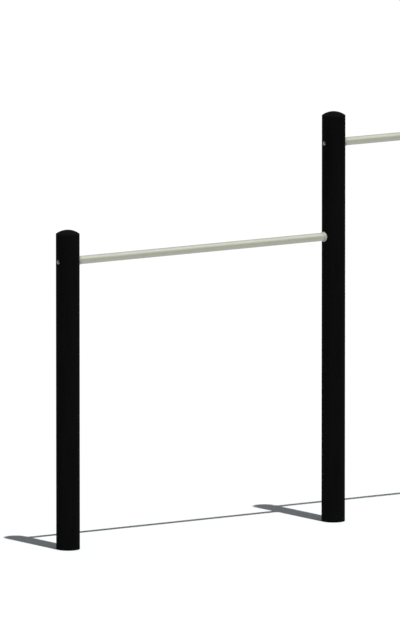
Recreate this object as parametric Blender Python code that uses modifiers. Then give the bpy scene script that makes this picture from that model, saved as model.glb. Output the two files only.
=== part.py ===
"""Double horizontal bar for an outdoor gym: three round posts in a row carry two steel bars.

The low bar runs from the low post to the middle post, and the high bar from the middle post to the
high post. Each end of a bar sits in a saddle collar, and a bolt through the post draws it tight.
The model stands on Z = 0 with X along the bars. Its origin is the centre of the middle post's foot.
All lengths are in metres.
"""

import math

import bmesh
import bpy
from mathutils import Matrix

# Layout of the posts and bars
POST_SPACING = 1.600  # between the axes of neighbouring posts
LOW_BAR_HEIGHT = 1.470  # from the ground to the bar's axis
BAR_STEP = 0.480  # from the low bar up to the high one
POST_ABOVE_BAR = 0.160  # from the highest bar's axis on a post to the top of the post

# Posts
POST_DIAMETER = 0.120
DOME_RISE = 0.020
SHOULDER_ROUND = 0.0015
FOOT_CHAMFER = 0.0010

# Tubes of the bars
TUBE_DIAMETER = 0.0424
TUBE_WALL = 0.0032

# Saddle collars
COLLAR_FLOOR = 0.0035  # between the post's nearest line and the end of the tube
TUBE_SEAT_DEPTH = 0.0065  # how far the tube sits in its collar
HUB_MOUTH_WALL = 0.0015
HUB_FOOT_WALL = 0.0027
LIP_WIDTH = 0.0008  # how far the lip on the post stands out from the hub
LIP_THICKNESS = 0.0030
MOUTH_ROUND = 0.0010
ROUND_LIMIT = 0.8  # of a wall, the most that a round on its edge may take

# Threaded plugs in the ends of the tubes
PLUG_LENGTH = 0.030
PLUG_CHAMFER = 0.0010

# Bolts and washers
BOLT_DIAMETER = 0.012
THREAD_ENGAGEMENT = 0.021  # how far the bolt reaches into the plug
TIP_CHAMFER = 0.0012
HEAD_DIAMETER = 0.021
HEAD_HEIGHT = 0.0066
HEAD_RIM = 0.0014  # upright edge of the button head, under its dome
HEAD_CROWN_DIAMETER = 0.0118  # flat round the socket
SOCKET_ACROSS_FLATS = 0.008
SOCKET_DEPTH = 0.0042
HEAD_PROUD = 0.0017  # how far the head stands out past the post's nearest line
WASHER_DIAMETER = 0.024
WASHER_THICKNESS = 0.0025
WASHER_EDGE = 0.0004

# Clearances
SEAT_GAP = 0.0003  # between pieces that rest on or sit in each other
HOLE_CLEARANCE = 0.0005  # all round the bolt in the post, the washer and the collar
COUNTERBORE_CLEARANCE = 0.0015  # all round the washer
CUTTER_MARGIN = 0.010  # how far a cutter runs past what it cuts

# Fineness of the round shapes
POST_SIDES = 64
TUBE_SIDES = 48
COLLAR_SIDES = 48
FIXING_SIDES = 24
BOLT_SIDES = 24
DOME_STEPS = 6
ROUND_STEPS = 2
HEAD_STEPS = 4
HEXAGON_SIDES = 6
SHARP_ANGLE = math.radians(28)
MERGE_DISTANCE = 0.00001

# Each material's colour in linear values, its roughness and how metallic it is
MATERIALS = {
    "post_black": ((0.006, 0.006, 0.006), 0.75, 0.0),
    "bar_steel": ((0.50, 0.51, 0.45), 0.45, 0.85),
    "collar_metal": ((0.52, 0.53, 0.48), 0.40, 0.85),
    "plug_steel": ((0.30, 0.30, 0.30), 0.55, 0.90),
    "bolt_steel": ((0.45, 0.45, 0.45), 0.35, 0.90),
    "washer_steel": ((0.40, 0.40, 0.40), 0.45, 0.90),
}

# Sizes that follow from the ones above
POST_RADIUS = POST_DIAMETER / 2
TUBE_RADIUS = TUBE_DIAMETER / 2
BORE_RADIUS = TUBE_RADIUS - TUBE_WALL
SEAT_RADIUS = TUBE_RADIUS + SEAT_GAP
HUB_MOUTH_RADIUS = SEAT_RADIUS + HUB_MOUTH_WALL
HUB_FOOT_RADIUS = SEAT_RADIUS + HUB_FOOT_WALL
LIP_RADIUS = HUB_FOOT_RADIUS + LIP_WIDTH
BOLT_RADIUS = BOLT_DIAMETER / 2
HOLE_RADIUS = BOLT_RADIUS + HOLE_CLEARANCE
HIGH_BAR_HEIGHT = LOW_BAR_HEIGHT + BAR_STEP

# Places along a fixing's axis, measured from the post's axis towards the bar
SADDLE = POST_RADIUS + SEAT_GAP
SEAT_FLOOR = SADDLE + COLLAR_FLOOR
COLLAR_FRONT = SEAT_FLOOR + TUBE_SEAT_DEPTH
TUBE_END = SEAT_FLOOR + SEAT_GAP
HEAD_TOP = -(POST_RADIUS + HEAD_PROUD)
HEAD_SEAT = HEAD_TOP + HEAD_HEIGHT
WASHER_BOTTOM = HEAD_SEAT + SEAT_GAP + WASHER_THICKNESS
COUNTERBORE_FLOOR = WASHER_BOTTOM + SEAT_GAP
COUNTERBORE_RADIUS = max(WASHER_DIAMETER, HEAD_DIAMETER) / 2 + COUNTERBORE_CLEARANCE


def clear_scene():
    """Starts from a scene with no objects, so a second run makes the same model."""
    for thing in list(bpy.data.objects):
        bpy.data.objects.remove(thing)
    for collection in list(bpy.data.collections):
        bpy.data.collections.remove(collection)


def new_collection(name):
    collection = bpy.data.collections.new(name)
    bpy.context.scene.collection.children.link(collection)
    return collection


def new_material(name, colour, roughness, metallic):
    """A Principled material with the piece's own colour."""
    material = bpy.data.materials.new(name)
    material.use_nodes = True
    shader = material.node_tree.nodes["Principled BSDF"]
    shader.inputs["Base Color"].default_value = (*colour, 1.0)
    shader.inputs["Roughness"].default_value = roughness
    shader.inputs["Metallic"].default_value = metallic
    material.diffuse_color = (*colour, 1.0)
    return material


def arc(centre, radius, start, end, steps):
    """Points (radius, height) on an arc between two angles, with both ends."""
    angles = [start + (end - start) * i / steps for i in range(steps + 1)]
    return [(centre[0] + radius * math.cos(a), centre[1] + radius * math.sin(a)) for a in angles]


def turned(name, profile, sides, collection):
    """A solid turned about its local Z, from points (radius, height) that run down its outer side.

    A profile that starts off the axis is closed into a loop, which gives a ring.
    """
    mesh = bpy.data.meshes.new(name)
    edges = [(i, i + 1) for i in range(len(profile) - 1)]
    if profile[0][0] > 0:
        edges.append((len(profile) - 1, 0))
    mesh.from_pydata([(radius, 0.0, height) for radius, height in profile], edges, [])
    piece = bpy.data.objects.new(name, mesh)
    collection.objects.link(piece)
    screw = piece.modifiers.new("Turn", "SCREW")
    screw.axis = "Z"
    screw.steps = sides
    screw.render_steps = sides
    screw.use_merge_vertices = True
    screw.merge_threshold = MERGE_DISTANCE
    return piece


def boolean(piece, other, operation):
    """Cuts, joins or intersects one object with another."""
    modifier = piece.modifiers.new(operation.title(), "BOOLEAN")
    modifier.operation = operation
    modifier.solver = "EXACT"
    modifier.object = other


def as_cutter(piece):
    piece.hide_render = True
    piece.display_type = "WIRE"
    return piece


def apply_modifiers(piece):
    """Keeps the shape that the modifiers make, as one smooth-shaded mesh with sharp corners."""
    bpy.context.view_layer.update()
    evaluated = piece.evaluated_get(bpy.context.evaluated_depsgraph_get())
    mesh = bpy.data.meshes.new_from_object(evaluated)
    piece.modifiers.clear()
    old = piece.data
    piece.data = mesh
    bpy.data.meshes.remove(old)
    mesh.name = piece.name
    mesh.shade_smooth()
    mesh.set_sharp_from_angle(angle=SHARP_ANGLE)


def place(name, mesh, station, material, collection):
    """A piece on a fixing's axis, which shares its mesh with the same piece at the other fixings."""
    piece = bpy.data.objects.new(name, mesh)
    collection.objects.link(piece)
    piece.parent = station
    if not mesh.materials:
        mesh.materials.append(material)
    return piece


def dome_profile(top):
    """The dome and the rounded shoulder, down to where the straight side starts."""
    dome_radius = (POST_RADIUS**2 + DOME_RISE**2) / (2 * DOME_RISE)
    centre = top - dome_radius
    shoulder_x = POST_RADIUS - SHOULDER_ROUND
    shoulder_z = centre + math.sqrt((dome_radius - SHOULDER_ROUND) ** 2 - shoulder_x**2)
    tangent = math.atan2(shoulder_z - centre, shoulder_x)
    dome = arc((0.0, centre), dome_radius, math.pi / 2, tangent, DOME_STEPS)
    dome[0] = (0.0, top)
    shoulder = arc((shoulder_x, shoulder_z), SHOULDER_ROUND, tangent, 0.0, ROUND_STEPS)
    return dome + shoulder[1:]


def make_post(name, x, highest_bar, drills, material, collection):
    """A domed round post on the ground, drilled and counterbored for its bolts."""
    profile = dome_profile(highest_bar + POST_ABOVE_BAR)
    profile += [(POST_RADIUS, FOOT_CHAMFER), (POST_RADIUS - FOOT_CHAMFER, 0.0), (0.0, 0.0)]
    post = turned(name, profile, POST_SIDES, collection)
    post.location.x = x
    for drill in drills:
        boolean(post, drill, "DIFFERENCE")
    apply_modifiers(post)
    post.data.materials.append(material)


def make_station(name, x, height, direction, collection):
    """An empty on a post's axis at a bar's height, with its local Z towards the bar."""
    station = bpy.data.objects.new(name, None)
    collection.objects.link(station)
    station.location = (x, 0.0, height)
    station.rotation_euler = (0.0, direction * math.pi / 2, 0.0)
    station.empty_display_size = TUBE_DIAMETER
    return station


def make_drill(station, collection):
    """The cutter for one bolt: a clear hole through the post, and a counterbore at the head's end."""
    near = POST_RADIUS + CUTTER_MARGIN
    profile = [
        (0.0, near),
        (HOLE_RADIUS, near),
        (HOLE_RADIUS, COUNTERBORE_FLOOR),
        (COUNTERBORE_RADIUS, COUNTERBORE_FLOOR),
        (COUNTERBORE_RADIUS, -near),
        (0.0, -near),
    ]
    drill = as_cutter(turned(f"{station.name}_drill", profile, FIXING_SIDES, collection))
    drill.parent = station
    return drill


def lying_cylinder(name, radius, collection):
    """A cutter with the post's own facets, lying along local X as a fixing sees the post."""
    half = LIP_RADIUS + CUTTER_MARGIN
    profile = [(0.0, half), (radius, half), (radius, -half), (0.0, -half)]
    cylinder = as_cutter(turned(name, profile, POST_SIDES, collection))
    apply_modifiers(cylinder)
    cylinder.data.transform(Matrix.Rotation(math.pi / 2, 4, "Y"))
    return cylinder


def make_collar_mesh(parts, cutters):
    """A tapered cup for the tube on a lip that follows the post, with a saddle cut to the post."""
    inside = POST_RADIUS / 2  # well inside the post, where the saddle cut removes everything

    mouth_round = min(MOUTH_ROUND, HUB_MOUTH_WALL * ROUND_LIMIT)
    corner = (HUB_MOUTH_RADIUS - mouth_round, COLLAR_FRONT - mouth_round)
    profile = [(0.0, COLLAR_FRONT)]
    profile += arc(corner, mouth_round, math.pi / 2, 0.0, ROUND_STEPS)
    profile += [(HUB_FOOT_RADIUS, SADDLE), (HUB_FOOT_RADIUS, inside), (0.0, inside)]
    collar = turned("collar", profile, COLLAR_SIDES, parts)

    lip_profile = [(0.0, COLLAR_FRONT), (LIP_RADIUS, COLLAR_FRONT), (LIP_RADIUS, inside), (0.0, inside)]
    lip = as_cutter(turned("collar_lip", lip_profile, COLLAR_SIDES, cutters))
    sleeve = lying_cylinder("lip_face", SADDLE + LIP_THICKNESS, cutters)
    boolean(lip, sleeve, "INTERSECT")
    apply_modifiers(lip)

    seat_profile = [
        (0.0, COLLAR_FRONT + CUTTER_MARGIN),
        (SEAT_RADIUS, COLLAR_FRONT + CUTTER_MARGIN),
        (SEAT_RADIUS, SEAT_FLOOR),
        (HOLE_RADIUS, SEAT_FLOOR),
        (HOLE_RADIUS, 0.0),
        (0.0, 0.0),
    ]
    seat = as_cutter(turned("tube_seat", seat_profile, COLLAR_SIDES, cutters))
    apply_modifiers(seat)
    saddle = lying_cylinder("post_saddle", SADDLE, cutters)

    boolean(collar, lip, "UNION")
    boolean(collar, seat, "DIFFERENCE")
    boolean(collar, saddle, "DIFFERENCE")
    apply_modifiers(collar)
    mesh = collar.data
    bpy.data.objects.remove(collar)
    return mesh


def make_plug_mesh(parts):
    """The threaded plug that closes the end of a tube, flush with it."""
    radius = BORE_RADIUS - SEAT_GAP
    hole = BOLT_RADIUS + SEAT_GAP
    far = TUBE_END + PLUG_LENGTH
    profile = [
        (hole, far),
        (radius - PLUG_CHAMFER, far),
        (radius, far - PLUG_CHAMFER),
        (radius, TUBE_END + PLUG_CHAMFER),
        (radius - PLUG_CHAMFER, TUBE_END),
        (hole, TUBE_END),
    ]
    return turned_mesh("end_plug", profile, FIXING_SIDES, parts)


def make_washer_mesh(parts):
    """A plain washer with its outer edges broken."""
    radius = WASHER_DIAMETER / 2
    top = WASHER_BOTTOM - WASHER_THICKNESS
    profile = [
        (HOLE_RADIUS, WASHER_BOTTOM),
        (radius - WASHER_EDGE, WASHER_BOTTOM),
        (radius, WASHER_BOTTOM - WASHER_EDGE),
        (radius, top + WASHER_EDGE),
        (radius - WASHER_EDGE, top),
        (HOLE_RADIUS, top),
    ]
    return turned_mesh("washer", profile, FIXING_SIDES, parts)


def head_dome():
    """The side of a button head, from its upright rim to the flat round the socket."""
    crown = HEAD_CROWN_DIAMETER / 2
    rim = HEAD_DIAMETER / 2
    rise = HEAD_HEIGHT - HEAD_RIM
    start = HEAD_SEAT - HEAD_RIM
    quarter = arc((0.0, 0.0), 1.0, 0.0, math.pi / 2, HEAD_STEPS)
    return [(crown + (rim - crown) * across, start - rise * along) for across, along in quarter]


def make_socket(cutters):
    """The cutter for a bolt's hexagon socket: as much of it stands out of the head as goes in."""
    corner_radius = SOCKET_ACROSS_FLATS / 2 / math.cos(math.pi / HEXAGON_SIDES)
    mesh = bpy.data.meshes.new("hex_socket")
    shape = bmesh.new()
    bmesh.ops.create_cone(
        shape,
        cap_ends=True,
        segments=HEXAGON_SIDES,
        radius1=corner_radius,
        radius2=corner_radius,
        depth=2 * SOCKET_DEPTH,
        matrix=Matrix.Translation((0.0, 0.0, HEAD_TOP)),
    )
    shape.to_mesh(mesh)
    shape.free()
    socket = as_cutter(bpy.data.objects.new("hex_socket", mesh))
    cutters.objects.link(socket)
    return socket


def make_bolt_mesh(parts, cutters):
    """A button-head bolt with a hexagon socket, from the far side of the post into the plug."""
    tip = TUBE_END + THREAD_ENGAGEMENT
    profile = [
        (0.0, tip),
        (BOLT_RADIUS - TIP_CHAMFER, tip),
        (BOLT_RADIUS, tip - TIP_CHAMFER),
        (BOLT_RADIUS, HEAD_SEAT),
        (HEAD_DIAMETER / 2, HEAD_SEAT),
    ]
    profile += head_dome()
    profile.append((0.0, HEAD_TOP))
    bolt = turned("bolt", profile, BOLT_SIDES, parts)

    boolean(bolt, make_socket(cutters), "DIFFERENCE")
    apply_modifiers(bolt)
    mesh = bolt.data
    bpy.data.objects.remove(bolt)
    return mesh


def turned_mesh(name, profile, sides, collection):
    """The mesh of a turned piece, without an object of its own."""
    piece = turned(name, profile, sides, collection)
    apply_modifiers(piece)
    mesh = piece.data
    bpy.data.objects.remove(piece)
    return mesh


def make_tube(name, left_post, height, material, collection):
    """A bar's tube, square cut at both ends, between the floors of its two collars."""
    length = POST_SPACING - 2 * TUBE_END
    half = length / 2
    profile = [(TUBE_RADIUS, half), (TUBE_RADIUS, -half), (BORE_RADIUS, -half), (BORE_RADIUS, half)]
    tube = turned(name, profile, TUBE_SIDES, collection)
    tube.location = (left_post + POST_SPACING / 2, 0.0, height)
    tube.rotation_euler = (0.0, math.pi / 2, 0.0)
    apply_modifiers(tube)
    tube.data.materials.append(material)


def main():
    clear_scene()
    parts = new_collection("double_horizontal_bar")
    cutters = new_collection("cutters")

    materials = {name: new_material(name, *values) for name, values in MATERIALS.items()}

    # The pieces that every fixing has, each with its mesh and material
    pieces = {
        "collar": (make_collar_mesh(parts, cutters), materials["collar_metal"]),
        "plug": (make_plug_mesh(parts), materials["plug_steel"]),
        "bolt": (make_bolt_mesh(parts, cutters), materials["bolt_steel"]),
        "washer": (make_washer_mesh(parts), materials["washer_steel"]),
    }

    # Each post and the highest bar that it carries
    posts = {
        "low_post": (-POST_SPACING, LOW_BAR_HEIGHT),
        "middle_post": (0.0, HIGH_BAR_HEIGHT),
        "high_post": (POST_SPACING, HIGH_BAR_HEIGHT),
    }
    drills = {name: [] for name in posts}

    # Each bar, with the posts that its two ends are bolted to
    bars = {
        "low_bar": (LOW_BAR_HEIGHT, "low_post", "middle_post"),
        "high_bar": (HIGH_BAR_HEIGHT, "middle_post", "high_post"),
    }
    for bar, (height, left_post, right_post) in bars.items():
        make_tube(f"{bar}_tube", posts[left_post][0], height, materials["bar_steel"], parts)
        for side, post, direction in (("left", left_post, 1), ("right", right_post, -1)):
            fixing = f"{bar}_{side}"
            station = make_station(f"{fixing}_fixing", posts[post][0], height, direction, parts)
            drills[post].append(make_drill(station, cutters))
            for piece, (mesh, material) in pieces.items():
                place(f"{fixing}_{piece}", mesh, station, material, parts)

    for name, (x, highest_bar) in posts.items():
        make_post(name, x, highest_bar, drills[name], materials["post_black"], parts)


main()
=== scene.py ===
"""Looks of the set of two horizontal bars: fine surfaces, materials, floor, light and camera.

Three round black posts carry two steel bars. Every piece but the hidden plugs stands in its CAD node's
place, at the same size, with finer curves and rounded edges. All lengths are in metres.
"""

import math
from typing import NamedTuple

import bmesh
import bpy
from mathutils import Matrix, Vector


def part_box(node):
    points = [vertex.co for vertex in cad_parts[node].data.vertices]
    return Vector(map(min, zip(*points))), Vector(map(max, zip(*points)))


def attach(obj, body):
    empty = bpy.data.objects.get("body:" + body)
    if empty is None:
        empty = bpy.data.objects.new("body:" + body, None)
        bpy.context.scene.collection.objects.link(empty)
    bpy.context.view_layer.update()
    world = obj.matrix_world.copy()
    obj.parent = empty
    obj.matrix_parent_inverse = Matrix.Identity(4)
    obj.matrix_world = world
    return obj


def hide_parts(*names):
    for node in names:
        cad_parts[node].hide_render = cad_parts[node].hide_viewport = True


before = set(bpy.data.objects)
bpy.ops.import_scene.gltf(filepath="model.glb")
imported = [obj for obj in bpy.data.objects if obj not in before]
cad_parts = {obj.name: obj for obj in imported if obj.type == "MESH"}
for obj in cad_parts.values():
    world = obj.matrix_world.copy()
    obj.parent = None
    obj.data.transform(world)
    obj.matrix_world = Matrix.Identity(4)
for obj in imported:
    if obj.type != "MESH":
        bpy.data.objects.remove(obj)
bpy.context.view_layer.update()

# The photograph's view, aimed from the middle post's foot
VIEW_TURN = math.radians(32.74)  # from looking along +Y, towards +X
VIEW_DOWN = math.radians(8.804)
VIEW_RIGHT = Vector((math.cos(VIEW_TURN), -math.sin(VIEW_TURN), 0))
VIEW_AHEAD = Vector((math.sin(VIEW_TURN), math.cos(VIEW_TURN), 0))  # level, as VIEW_RIGHT is
UPWARDS = Vector((0, 0, 1))
VIEW_DISTANCE = 90.116
AIM_LEFT = 0.6793
AIM_UP = 1.0341
LENS = 1000.0  # mm: the photograph is close to orthographic
SENSOR = 36.0  # mm
NEAREST = 1.0
FARTHEST = 1000.0

# The sun, as the shadows on the photograph's floor give it: to the right, towards the camera and up
SUN_RIGHT = 0.167
SUN_NEAR = 0.218
SUN_SHARE = 0.85  # of the light on the floor; the sky gives the rest
SUN_ANGLE = math.radians(0.6)
SKY_COLOUR = (0.136, 0.149, 0.158)
WHITE = (1.0, 1.0, 1.0)

# Floor
FLOOR_RADIUS = 40.0
FLOOR_SIDES = 96
FLOOR_COLOUR = (0.8, 0.8, 0.8)
FLOOR_SHOWN = (1.03, 1.03, 1.03)  # what the camera sees, so that the lit floor is white

# The bars, with the posts that their two ends are bolted to
BARS = {"low_bar": ("low_post", "middle_post"), "high_bar": ("middle_post", "high_post")}
POSTS = ("low_post", "middle_post", "high_post")

# Rounds and walls, as in the part
DOME_RISE = 0.020
SHOULDER_ROUND = 0.0015
FOOT_CHAMFER = 0.0010
TUBE_WALL = 0.0032
TUBE_EDGE = 0.0003
SEAT_GAP = 0.0003
HOLE_CLEARANCE = 0.0005
COUNTERBORE_CLEARANCE = 0.0015
COLLAR_FLOOR = 0.0035
HUB_MOUTH_WALL = 0.0015
HUB_FOOT_WALL = 0.0027
LIP_THICKNESS = 0.0030
LIP_ROUND = 0.0003
LIP_FILLET = 0.0004
SADDLE_EDGE = 0.0002
MOUTH_ROUND = 0.0010
MOUTH_CHAMFER = 0.0003
BOLT_RADIUS = 0.006
TIP_CHAMFER = 0.0012
HEAD_HEIGHT = 0.0066
HEAD_RIM = 0.0014
HEAD_EDGE = 0.0003
HEAD_CROWN_RADIUS = 0.0059
SOCKET_ACROSS_FLATS = 0.008
SOCKET_DEPTH = 0.0042
SOCKET_CHAMFER = 0.0004
SOCKET_CONE = 0.0012
WASHER_EDGE = 0.0004
CUTTER_MARGIN = 0.010
RING_MARGIN = 0.006  # from a hole's rim to the rings of the post above and below it

# Fineness of the round surfaces
POST_SIDES = 160
TUBE_SIDES = 128
COLLAR_SIDES = 144
FIXING_SIDES = 96
DOME_STEPS = 24
ROUND_STEPS = 6
HUB_STEPS = 6
SADDLE_STEPS = 8
SHARP_ANGLE = math.radians(32)

# Ranges of values
WHOLE = (0.0, 1.0)
PATTERN_MIDDLE = (0.3, 0.7)  # where nearly all of a noise pattern's values lie
FACINGS = (-1.0, 1.0)  # the upward part of a surface's normal

# Noise patterns: features on a metre, levels of finer detail, and the share of the features along X, Y and
# Z, where less than 1 draws them out
UNSTRETCHED = (1.0, 1.0, 1.0)
POST_GRAIN = (900.0, 3.0, UNSTRETCHED)
POST_STREAKS = (40.0, 4.0, (1.0, 1.0, 0.06))
POST_PATCHES = (5.0, 5.0, UNSTRETCHED)
METAL_CLOUDS = (60.0, 6.0, UNSTRETCHED)
METAL_GRAIN = (1400.0, 3.0, UNSTRETCHED)
BAR_CLOUDS = (25.0, 6.0, UNSTRETCHED)
BAR_LINES = (1500.0, 3.0, (1.0, 1.0, 0.02))
# the noise that makes the edges of the bar's painted light and shade bands ragged
BAR_BAND_RAGGING = (90.0, 5.0, (1.0, 1.0, 0.15))

# Bumps: their depth, and their strength
POST_BUMP = (0.0002, 0.5)
METAL_BUMP = (0.00003, 0.3)
BAR_BUMP = (0.00004, 0.5)

# Black posts: their coating where it is plain, streaked and worn, and how much its grain changes that
POST_PLAIN = (0.0044, 0.0044, 0.0044)
POST_STREAKED = (0.0062, 0.0062, 0.0062)
POST_WORN = (0.0070, 0.0069, 0.0066)
POST_WEAR = (0.0, 0.6)  # how far a patch is worn
POST_GRAIN_SHADES = (0.1, 1.9)
POST_ROUGHNESS = (0.58, 0.70)
POST_SPECULAR = 0.004

# Metals: how far their zinc coats darken or lighten them, the shares of crystals and of cloudy oxide in
# that, and what the clouds and the grain add to their roughness
METAL_SHADES = (0.94, 1.06)
CRYSTAL_SHARE = (0.0, 0.4)
CLOUD_SHARE = (0.0, 0.6)
CRYSTAL_STRETCH = (1.0, 1.0, 0.6)
CLOUD_ROUGHNESS = (-0.04, 0.04)
GRAIN_ROUGHNESS = (-0.03, 0.03)

# Colours of the metals by how far a surface faces up: 0 underneath, 0.5 on a side and 1 on top
# The bar's tones paint light underneath and on its upper side, and shade along its side and on its top
BAR_PAINTED_LIGHT_TONES = (
    (0.050, (0.484, 0.490, 0.446)),
    (0.350, (0.474, 0.488, 0.408)),
    (0.550, (0.392, 0.404, 0.335)),
    (0.700, (0.434, 0.444, 0.381)),
    (0.800, (0.456, 0.467, 0.404)),
    (0.925, (0.360, 0.368, 0.330)),
)
RAGGED_BAND_FACINGS = (-0.04, 0.04)  # how far a noise shifts the edges of a bar's painted light and shade bands round it
# The collar's tones paint a highlight on its upper side and shade on its top
COLLAR_PAINTED_LIGHT_TONES = (
    (0.500, (0.372, 0.384, 0.340)),
    (0.750, (0.400, 0.412, 0.364)),
    (0.950, (0.330, 0.340, 0.300)),
)
BOLT_TONES = ((0.5, (0.50, 0.50, 0.50)),)
# The washers' near-black tone paints the shade of the counterbores they sit in
WASHER_PAINTED_SHADE_TONES = ((0.5, (0.015, 0.015, 0.015)),)
PLUG_TONES = ((0.5, (0.27, 0.27, 0.27)),)

# The bolt heads' painted shade of their counterbores: far from their axis, and on what faces up
BOLT_PAINTED_SHADE = (0.05, 0.05, 0.05)
BOLT_SHADE_RADII = (0.0032, 0.0078)
TOP_SHADE_FACINGS = (0.25, 0.85)
TOP_SHADE_SHARE = (-0.4, 0.5)
ACROSS_AXIS = (1.0, 1.0, 0.0)


class Metal(NamedTuple):
    """How a metal looks, with its tones, its mean roughness and the zinc crystals on a metre of it."""

    tones: tuple
    roughness: float
    crystals: float
    clouds: tuple = METAL_CLOUDS
    grain: tuple = METAL_GRAIN
    bump: tuple = METAL_BUMP
    # a noise that makes the edges of a metal's painted light and shade bands ragged
    band_ragging: tuple = ()


BAR_STEEL = Metal(BAR_PAINTED_LIGHT_TONES, 0.72, 120.0, BAR_CLOUDS, BAR_LINES, BAR_BUMP, BAR_BAND_RAGGING)
COLLAR_METAL = Metal(COLLAR_PAINTED_LIGHT_TONES, 0.75, 400.0)
BOLT_STEEL = Metal(BOLT_TONES, 0.50, 600.0)
WASHER_STEEL = Metal(WASHER_PAINTED_SHADE_TONES, 0.60, 600.0)
PLUG_STEEL = Metal(PLUG_TONES, 0.55, 600.0)


# Shapes


def arc(centre, radius, start, end, steps=ROUND_STEPS):
    """Points (radius, height) on an arc between two angles, with both ends."""
    angles = [start + (end - start) * i / steps for i in range(steps + 1)]
    return [(centre[0] + radius * math.cos(a), centre[1] + radius * math.sin(a)) for a in angles]


def between(start, end, steps):
    """Evenly spaced values, with both ends."""
    return [start + (end - start) * i / steps for i in range(steps + 1)]


def turned(name, profile_at, sides):
    """A mesh turned about Z, from a profile (radius, height) that may change with the angle.

    A profile that starts off the axis is closed into a loop, which gives a ring.
    """
    shape = bmesh.new()
    angles = [math.tau * i / sides for i in range(sides)]
    rings = []
    for row in zip(*[profile_at(angle) for angle in angles]):
        points = [(r * math.cos(angle), r * math.sin(angle), z) for angle, (r, z) in zip(angles, row)]
        on_axis = row[0][0] == 0
        rings.append([shape.verts.new(point) for point in (points[:1] if on_axis else points)])
    pairs = list(zip(rings, rings[1:]))
    if len(rings[0]) > 1:
        pairs.append((rings[-1], rings[0]))
    for upper, lower in pairs:
        for i in range(sides):
            j = (i + 1) % sides
            this_side = [upper[i % len(upper)], lower[i % len(lower)]]
            next_side = [lower[j % len(lower)], upper[j % len(upper)]]
            shape.faces.new(list(dict.fromkeys(this_side + next_side)))
    bmesh.ops.recalc_face_normals(shape, faces=shape.faces)
    return finish_mesh(name, shape)


def finish_mesh(name, shape):
    """A mesh that is smooth but for its sharp edges."""
    mesh = bpy.data.meshes.new(name)
    shape.to_mesh(mesh)
    shape.free()
    mesh.shade_smooth()
    mesh.set_sharp_from_angle(angle=SHARP_ANGLE)
    return mesh


def new_object(name, mesh, matrix=Matrix.Identity(4)):
    piece = bpy.data.objects.new(name, mesh)
    bpy.context.scene.collection.objects.link(piece)
    piece.matrix_world = matrix
    return piece


def add_piece(node, mesh, matrix, material):
    """A fine piece that stands for the CAD node of the same name, with the material it is given."""
    piece = new_object(f"{node}_fine", mesh, matrix)
    if not mesh.materials:
        mesh.materials.append(material)
    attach(piece, "root")
    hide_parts(node)
    return piece


# Places read from the frame


def post_x(post):
    low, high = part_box(post)
    return (low.x + high.x) / 2


def bar_height(bar):
    low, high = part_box(f"{bar}_tube")
    return (low.z + high.z) / 2


def fixing_matrix(post, bar, direction):
    """A fixing's frame: its origin on the post's axis at the bar's height, its Z towards the bar."""
    at = Matrix.Translation((post_x(post), 0.0, bar_height(bar)))
    return at @ Matrix.Rotation(direction * math.pi / 2, 4, "Y")


def along_fixing(node):
    """Where a node of the first fixing starts and ends, from its post's axis towards the bar."""
    low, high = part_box(node)
    origin = post_x("low_post")
    return low.x - origin, high.x - origin


def half_height(node):
    low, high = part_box(node)
    return (high.z - low.z) / 2


POST_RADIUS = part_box("low_post")[1].y
TUBE_RADIUS = half_height("low_bar_tube")
LIP_RADIUS = half_height("low_bar_left_collar")
COLLAR_FRONT = along_fixing("low_bar_left_collar")[1]
HEAD_RADIUS = half_height("low_bar_left_bolt")
HEAD_TOP, BOLT_TIP = along_fixing("low_bar_left_bolt")
WASHER_RADIUS = half_height("low_bar_left_washer")
WASHER_TOP, WASHER_BOTTOM = along_fixing("low_bar_left_washer")

HOLE_RADIUS = BOLT_RADIUS + HOLE_CLEARANCE
SEAT_RADIUS = TUBE_RADIUS + SEAT_GAP
SADDLE = POST_RADIUS + SEAT_GAP
SEAT_FLOOR = SADDLE + COLLAR_FLOOR
HEAD_SEAT = HEAD_TOP + HEAD_HEIGHT
COUNTERBORE_RADIUS = WASHER_RADIUS + COUNTERBORE_CLEARANCE
COUNTERBORE_FLOOR = WASHER_BOTTOM + SEAT_GAP


# Posts


def post_profile(top, hole_heights):
    """A domed post from its top down, with extra rings round each hole to keep the cut faces short."""
    dome_radius = (POST_RADIUS**2 + DOME_RISE**2) / (2 * DOME_RISE)
    centre = top - dome_radius
    shoulder_x = POST_RADIUS - SHOULDER_ROUND
    shoulder_z = centre + math.sqrt((dome_radius - SHOULDER_ROUND) ** 2 - shoulder_x**2)
    tangent = math.atan2(shoulder_z - centre, shoulder_x)
    profile = arc((0.0, centre), dome_radius, math.pi / 2, tangent, DOME_STEPS)
    profile[0] = (0.0, top)  # exactly on the axis
    profile += arc((shoulder_x, shoulder_z), SHOULDER_ROUND, tangent, 0.0)[1:]
    reach = COUNTERBORE_RADIUS + RING_MARGIN
    for height in sorted(hole_heights, reverse=True):
        profile += [(POST_RADIUS, height + reach), (POST_RADIUS, height - reach)]
    return profile + [(POST_RADIUS, FOOT_CHAMFER), (POST_RADIUS - FOOT_CHAMFER, 0.0), (0.0, 0.0)]


def drill_mesh():
    """The clear hole through a post, and the counterbore at the bolt head's end."""
    near = POST_RADIUS + CUTTER_MARGIN
    profile = [
        (0.0, near),
        (HOLE_RADIUS, near),
        (HOLE_RADIUS, COUNTERBORE_FLOOR),
        (COUNTERBORE_RADIUS, COUNTERBORE_FLOOR),
        (COUNTERBORE_RADIUS, -near),
        (0.0, -near),
    ]
    return turned("drill", lambda angle: profile, FIXING_SIDES)


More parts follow.
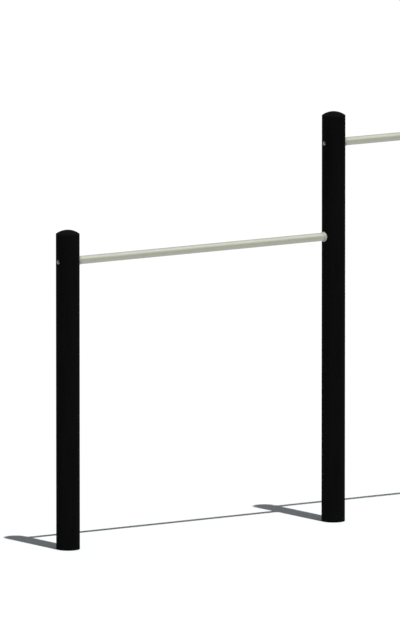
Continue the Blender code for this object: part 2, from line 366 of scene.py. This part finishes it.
def make_post(post, fixings, drill, material):
    """A fine post, cut by a drill at each of its fixings."""
    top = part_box(post)[1].z
    at = Matrix.Translation((post_x(post), 0.0, 0.0))
    profile = post_profile(top, [fixing.translation.z for fixing in fixings])
    uncut = new_object(f"{post}_uncut", turned(f"{post}_uncut", lambda angle: profile, POST_SIDES), at)
    drills = [new_object(f"{post}_drill", drill, fixing) for fixing in fixings]
    for cutter in drills:
        cut = uncut.modifiers.new("Cut", "BOOLEAN")
        cut.operation = "DIFFERENCE"
        cut.solver = "EXACT"
        cut.object = cutter
    bpy.context.view_layer.update()
    evaluated = uncut.evaluated_get(bpy.context.evaluated_depsgraph_get())
    mesh = bpy.data.meshes.new_from_object(evaluated)
    mesh.set_sharp_from_angle(angle=SHARP_ANGLE)
    mesh.materials.clear()
    for thing in (uncut, *drills):
        bpy.data.objects.remove(thing)
    fine = add_piece(post, mesh, at, material)
    fine.visible_glossy = False  # the photograph's bars don't mirror the posts


# Tubes


def make_tube(bar, material):
    """A bar's tube, square cut, with its edges broken."""
    low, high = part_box(f"{bar}_tube")
    half = (high.x - low.x) / 2
    bore = TUBE_RADIUS - TUBE_WALL
    profile = [
        (TUBE_RADIUS, half - TUBE_EDGE),
        (TUBE_RADIUS, TUBE_EDGE - half),
        (TUBE_RADIUS - TUBE_EDGE, -half),
        (bore + TUBE_EDGE, -half),
        (bore, TUBE_EDGE - half),
        (bore, half - TUBE_EDGE),
        (bore + TUBE_EDGE, half),
        (TUBE_RADIUS - TUBE_EDGE, half),
    ]
    at = Matrix.Translation((low + high) / 2) @ Matrix.Rotation(math.pi / 2, 4, "Y")
    add_piece(f"{bar}_tube", turned(f"{bar}_tube", lambda angle: profile, TUBE_SIDES), at, material)


# Collars, bolts and washers


def post_surface(post_radius, radius, angle):
    """How far along a fixing's axis a round post reaches, at a point off that axis."""
    return math.sqrt(post_radius**2 - (radius * math.sin(angle)) ** 2)


def hub_radius(height):
    """The collar's tapered hub, which is straight where it passes the post's nearest line."""
    mouth = SEAT_RADIUS + HUB_MOUTH_WALL
    foot = SEAT_RADIUS + HUB_FOOT_WALL
    start = COLLAR_FRONT - MOUTH_ROUND
    return mouth + (foot - mouth) * min(1.0, (start - height) / (start - SADDLE))


def collar_profile(angle):
    """One cut through the collar, from its floor round its mouth and lip to the saddle under it."""
    profile = [
        (HOLE_RADIUS, SEAT_FLOOR),
        (SEAT_RADIUS, SEAT_FLOOR),
        (SEAT_RADIUS, COLLAR_FRONT - MOUTH_CHAMFER),
        (SEAT_RADIUS + MOUTH_CHAMFER, COLLAR_FRONT),
    ]
    mouth = SEAT_RADIUS + HUB_MOUTH_WALL - MOUTH_ROUND
    start = COLLAR_FRONT - MOUTH_ROUND
    profile += arc((mouth, start), MOUTH_ROUND, math.pi / 2, 0.0)

    lip_face = post_surface(SADDLE + LIP_THICKNESS, LIP_RADIUS, angle)
    fillet_start = lip_face + LIP_FILLET
    foot = hub_radius(fillet_start)
    profile += [(hub_radius(z), z) for z in between(start, fillet_start, HUB_STEPS)[1:]]
    profile += arc((foot + LIP_FILLET, fillet_start), LIP_FILLET, math.pi, math.pi * 3 / 2)[1:]
    profile += arc((LIP_RADIUS - LIP_ROUND, lip_face - LIP_ROUND), LIP_ROUND, math.pi / 2, 0.0)

    edge = post_surface(SADDLE, LIP_RADIUS, angle) + SADDLE_EDGE
    profile.append((LIP_RADIUS, edge))
    inner = between(LIP_RADIUS - SADDLE_EDGE, HOLE_RADIUS, SADDLE_STEPS)
    return profile + [(r, post_surface(SADDLE, r, angle)) for r in inner]


def socket_radius(angle):
    """The hexagon of a bolt's socket, from its centre to its wall."""
    flat = math.pi / 3
    return SOCKET_ACROSS_FLATS / 2 / math.cos(angle % flat - flat / 2)


def bolt_profile(angle):
    """One cut through the bolt, from its tip along its shank and over its head into the socket."""
    profile = [
        (0.0, BOLT_TIP),
        (BOLT_RADIUS - TIP_CHAMFER, BOLT_TIP),
        (BOLT_RADIUS, BOLT_TIP - TIP_CHAMFER),
        (BOLT_RADIUS, HEAD_SEAT),
        (HEAD_RADIUS - HEAD_EDGE, HEAD_SEAT),
        (HEAD_RADIUS, HEAD_SEAT - HEAD_EDGE),
    ]
    width = HEAD_RADIUS - HEAD_CROWN_RADIUS
    rise = HEAD_HEIGHT - HEAD_RIM
    for turn in between(0.0, math.pi / 2, 2 * ROUND_STEPS):
        radius = HEAD_CROWN_RADIUS + width * math.cos(turn)
        profile.append((radius, HEAD_SEAT - HEAD_RIM - rise * math.sin(turn)))
    wall = socket_radius(angle)
    return profile + [
        (wall + SOCKET_CHAMFER, HEAD_TOP),
        (wall, HEAD_TOP + SOCKET_CHAMFER),
        (wall, HEAD_TOP + SOCKET_DEPTH),
        (0.0, HEAD_TOP + SOCKET_DEPTH + SOCKET_CONE),
    ]


def washer_profile():
    """One cut through the washer, with its outer edges rounded."""
    inner = HOLE_RADIUS
    outer = WASHER_RADIUS - WASHER_EDGE
    profile = arc((outer, WASHER_BOTTOM - WASHER_EDGE), WASHER_EDGE, math.pi / 2, 0.0)
    profile += arc((outer, WASHER_TOP + WASHER_EDGE), WASHER_EDGE, 0.0, -math.pi / 2)
    return profile + [(inner, WASHER_TOP), (inner, WASHER_BOTTOM)]


# Materials


def add_node(tree, kind, inputs=None, **settings):
    """A node with its settings and inputs. An input is a value, or another node's output to link."""
    node = tree.nodes.new(kind)
    for name, value in settings.items():
        setattr(node, name, value)
    for name, value in (inputs or {}).items():
        if isinstance(value, bpy.types.NodeSocket):
            tree.links.new(value, node.inputs[name])
        else:
            node.inputs[name].default_value = value
    return node


def new_material(name, **constants):
    """A Principled material, with the values that are the same all over it set on its shader."""
    material = bpy.data.materials.new(name)
    material.use_nodes = True
    shader = material.node_tree.nodes["Principled BSDF"]
    for socket, value in constants.items():
        shader.inputs[socket].default_value = value
    return material, material.node_tree, shader


def opaque(colour):
    return (*colour, 1.0)


def surface_place(tree, stretch):
    """Coordinates on a piece in metres, shifted by where it stands so that no two pieces match."""
    coordinates = add_node(tree, "ShaderNodeTexCoord").outputs["Object"]
    location = add_node(tree, "ShaderNodeObjectInfo").outputs["Location"]
    inputs = {"Vector": coordinates, "Location": location, "Scale": stretch}
    return add_node(tree, "ShaderNodeMapping", inputs).outputs["Vector"]


def noise(tree, scale, detail, stretch):
    """One of the noise patterns above."""
    inputs = {"Vector": surface_place(tree, stretch), "Scale": scale, "Detail": detail}
    return add_node(tree, "ShaderNodeTexNoise", inputs).outputs["Fac"]


def spread(tree, value, onto, source=PATTERN_MIDDLE):
    """Maps a range of values onto another one, and holds it there."""
    ends = {"From Min": source[0], "From Max": source[1], "To Min": onto[0], "To Max": onto[1]}
    return add_node(tree, "ShaderNodeMapRange", {"Value": value, **ends}).outputs["Result"]


def combine(tree, operation, first, second):
    """The sum of two values, or the larger one, as the operation says."""
    return add_node(tree, "ShaderNodeMath", {0: first, 1: second}, operation=operation).outputs["Value"]


def shaded(tree, shade, colour):
    """A colour made darker or lighter."""
    return add_node(tree, "ShaderNodeHueSaturation", {"Value": shade, "Color": colour}).outputs["Color"]


def mix_colours(tree, factor, first, second):
    """Runs from the first colour to the second as a factor goes from 0 to 1."""
    mix = add_node(tree, "ShaderNodeMix", data_type="RGBA")
    tree.links.new(factor, mix.inputs["Factor"])
    sockets = [socket for socket in mix.inputs if socket.type == "RGBA"]
    for socket, colour in zip(sockets, (first, second)):
        if isinstance(colour, bpy.types.NodeSocket):
            tree.links.new(colour, socket)
        else:
            socket.default_value = opaque(colour)
    return next(socket for socket in mix.outputs if socket.type == "RGBA")


def add_bump(tree, shader, height, distance, strength):
    inputs = {"Height": height, "Distance": distance, "Strength": strength}
    tree.links.new(add_node(tree, "ShaderNodeBump", inputs).outputs["Normal"], shader.inputs["Normal"])


def make_post_black():
    """Matt black coating: a fine grain, faint streaks down the post and patches that are a little worn."""
    material, tree, shader = new_material("post_black", **{"Specular IOR Level": POST_SPECULAR})
    grain = noise(tree, *POST_GRAIN)
    streaks = noise(tree, *POST_STREAKS)
    patches = noise(tree, *POST_PATCHES)
    coat = mix_colours(tree, spread(tree, streaks, WHOLE), POST_PLAIN, POST_STREAKED)
    coat = mix_colours(tree, spread(tree, patches, POST_WEAR), coat, POST_WORN)
    coat = shaded(tree, spread(tree, grain, POST_GRAIN_SHADES), coat)
    tree.links.new(coat, shader.inputs["Base Color"])
    tree.links.new(spread(tree, patches, POST_ROUGHNESS), shader.inputs["Roughness"])
    add_bump(tree, shader, grain, *POST_BUMP)
    return material


def zinc_coat(tree, clouds, scale):
    """From 0 to 1: the crystals of a zinc coat, each of its own tone, under cloudy oxide."""
    inputs = {"Vector": surface_place(tree, CRYSTAL_STRETCH), "Scale": scale}
    cells = add_node(tree, "ShaderNodeTexVoronoi", inputs).outputs["Color"]
    crystals = add_node(tree, "ShaderNodeSeparateColor", {"Color": cells}).outputs["Red"]
    crystals = spread(tree, crystals, CRYSTAL_SHARE, WHOLE)
    return combine(tree, "ADD", crystals, spread(tree, clouds, CLOUD_SHARE))


def upward_facing(tree):
    """How far a surface faces up: 0 underneath, 0.5 on a side and 1 on top."""
    normal = add_node(tree, "ShaderNodeNewGeometry").outputs["Normal"]
    height = add_node(tree, "ShaderNodeSeparateXYZ", {"Vector": normal}).outputs["Z"]
    return spread(tree, height, WHOLE, FACINGS)


def graded(tree, facing, tones):
    """A colour that paints light and shade from tone to tone as a surface turns up. A single tone is the
    same all round.
    """
    ramp = add_node(tree, "ShaderNodeValToRGB", {"Fac": facing})
    elements = ramp.color_ramp.elements
    for place, colour in tones:
        elements.new(place).color = opaque(colour)
    for end in (0, -1):
        elements.remove(elements[end])  # the ramp's own black and white
    return ramp.outputs["Color"]


def make_metal(name, look):
    """Zinc-coated steel or cast metal, with a fine grain; its tones by facing paint light and shade. A
    noise may make their bands ragged.
    """
    material, tree, shader = new_material(name, Metallic=1.0)
    clouds = noise(tree, *look.clouds)
    grain = noise(tree, *look.grain)
    # tones by how far the surface faces up: painted highlight and shade
    facing = upward_facing(tree)
    if look.band_ragging:
        facing = combine(tree, "ADD", facing, spread(tree, noise(tree, *look.band_ragging), RAGGED_BAND_FACINGS))
    shade = spread(tree, zinc_coat(tree, clouds, look.crystals), METAL_SHADES, WHOLE)
    tree.links.new(shaded(tree, shade, graded(tree, facing, look.tones)), shader.inputs["Base Color"])
    cloudy = combine(tree, "ADD", spread(tree, clouds, CLOUD_ROUGHNESS), look.roughness)
    rough = combine(tree, "ADD", cloudy, spread(tree, grain, GRAIN_ROUGHNESS))
    tree.links.new(rough, shader.inputs["Roughness"])
    add_bump(tree, shader, grain, *look.bump)
    return material


def make_bolt_steel():
    """Zinc-coated bolt: bright round its socket, with painted shade of its counterbore towards its rim and
    on what faces up.
    """
    material = make_metal("bolt_steel", BOLT_STEEL)
    tree = material.node_tree
    base_colour = tree.nodes["Principled BSDF"].inputs["Base Color"]
    bright = base_colour.links[0].from_socket
    place = add_node(tree, "ShaderNodeTexCoord").outputs["Object"]
    across = add_node(tree, "ShaderNodeVectorMath", {0: place, 1: ACROSS_AXIS}, operation="MULTIPLY")
    radius = add_node(tree, "ShaderNodeVectorMath", {0: across.outputs["Vector"]}, operation="LENGTH")
    # painted shade of the counterbore, towards the head's rim and on what faces up
    rim = spread(tree, radius.outputs["Value"], WHOLE, BOLT_SHADE_RADII)
    top_shade = spread(tree, upward_facing(tree), TOP_SHADE_SHARE, TOP_SHADE_FACINGS)
    painted_shade = combine(tree, "ADD", rim, top_shade)
    tree.links.new(mix_colours(tree, painted_shade, bright, BOLT_PAINTED_SHADE), base_colour)
    return material


# Stage


def make_camera():
    """A very long lens at the photograph's angle."""
    direction = VIEW_AHEAD * math.cos(VIEW_DOWN) - UPWARDS * math.sin(VIEW_DOWN)
    up = VIEW_AHEAD * math.sin(VIEW_DOWN) + UPWARDS * math.cos(VIEW_DOWN)
    camera = new_object("camera", bpy.data.cameras.new("camera"))
    camera.data.lens = LENS
    camera.data.sensor_width = SENSOR
    camera.data.clip_start = NEAREST
    camera.data.clip_end = FARTHEST
    camera.location = up * AIM_UP - VIEW_RIGHT * AIM_LEFT - direction * VIEW_DISTANCE
    camera.rotation_euler = direction.to_track_quat("-Z", "Y").to_euler()
    bpy.context.scene.camera = camera


def make_sun():
    """Most of the light on the floor, from where the photograph's shadows say."""
    towards = VIEW_RIGHT * SUN_RIGHT - VIEW_AHEAD * SUN_NEAR + UPWARDS
    sun = new_object("sun", bpy.data.lights.new("sun", "SUN"))
    sun.rotation_euler = (-towards).to_track_quat("-Z", "Y").to_euler()
    sun.data.energy = SUN_SHARE * math.pi / towards.normalized().z
    sun.data.angle = SUN_ANGLE


def seen_directly(tree):
    """1 for what the camera sees, also in a glossy or clear surface, and 0 for what lights things."""
    path = add_node(tree, "ShaderNodeLightPath").outputs
    mirrored = combine(tree, "MAXIMUM", path["Is Glossy Ray"], path["Is Transmission Ray"])
    return combine(tree, "MAXIMUM", path["Is Camera Ray"], mirrored)


def make_sky():
    """A sky that lights the scene a little, and is white where it is seen."""
    world = bpy.data.worlds.new("sky")
    bpy.context.scene.world = world
    world.use_nodes = True
    tree = world.node_tree
    colour = mix_colours(tree, seen_directly(tree), SKY_COLOUR, WHITE)
    tree.links.new(colour, tree.nodes["Background"].inputs["Color"])


def make_floor():
    """A plain pale floor, white to the camera where it is lit."""
    shape = bmesh.new()
    bmesh.ops.create_circle(shape, cap_ends=True, segments=FLOOR_SIDES, radius=FLOOR_RADIUS)
    mesh = finish_mesh("floor", shape)
    floor = new_object("floor", mesh)
    material = bpy.data.materials.new("floor_white")
    material.use_nodes = True
    tree = material.node_tree
    tree.nodes.clear()
    colour = mix_colours(tree, seen_directly(tree), FLOOR_COLOUR, FLOOR_SHOWN)
    diffuse = add_node(tree, "ShaderNodeBsdfDiffuse", {"Color": colour})
    add_node(tree, "ShaderNodeOutputMaterial", {"Surface": diffuse.outputs["BSDF"]})
    mesh.materials.append(material)


def make_bars():
    """Everything that belongs to the object."""
    post_black = make_post_black()
    bar_steel = make_metal("bar_steel", BAR_STEEL)
    collar_metal = make_metal("collar_metal", COLLAR_METAL)
    bolt_steel = make_bolt_steel()
    washer_steel = make_metal("washer_steel", WASHER_STEEL)
    plug_steel = make_metal("plug_steel", PLUG_STEEL)

    collar = turned("collar", collar_profile, COLLAR_SIDES)
    bolt = turned("bolt", bolt_profile, FIXING_SIDES)
    ring = washer_profile()
    washer = turned("washer", lambda angle: ring, FIXING_SIDES)

    fixings = {post: [] for post in POSTS}
    for bar, (left, right) in BARS.items():
        make_tube(bar, bar_steel)
        for side, post, direction in (("left", left, 1), ("right", right, -1)):
            at = fixing_matrix(post, bar, direction)
            fixings[post].append(at)
            add_piece(f"{bar}_{side}_collar", collar, at, collar_metal)
            add_piece(f"{bar}_{side}_bolt", bolt, at, bolt_steel)
            add_piece(f"{bar}_{side}_washer", washer, at, washer_steel)
            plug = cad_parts[f"{bar}_{side}_plug"]
            plug.data.materials.clear()
            plug.data.materials.append(plug_steel)

    drill = drill_mesh()
    for post, places in fixings.items():
        make_post(post, places, drill, post_black)
    bpy.data.meshes.remove(drill)


bpy.context.scene.view_settings.view_transform = "Standard"
make_camera()
make_sun()
make_sky()
make_floor()
make_bars()
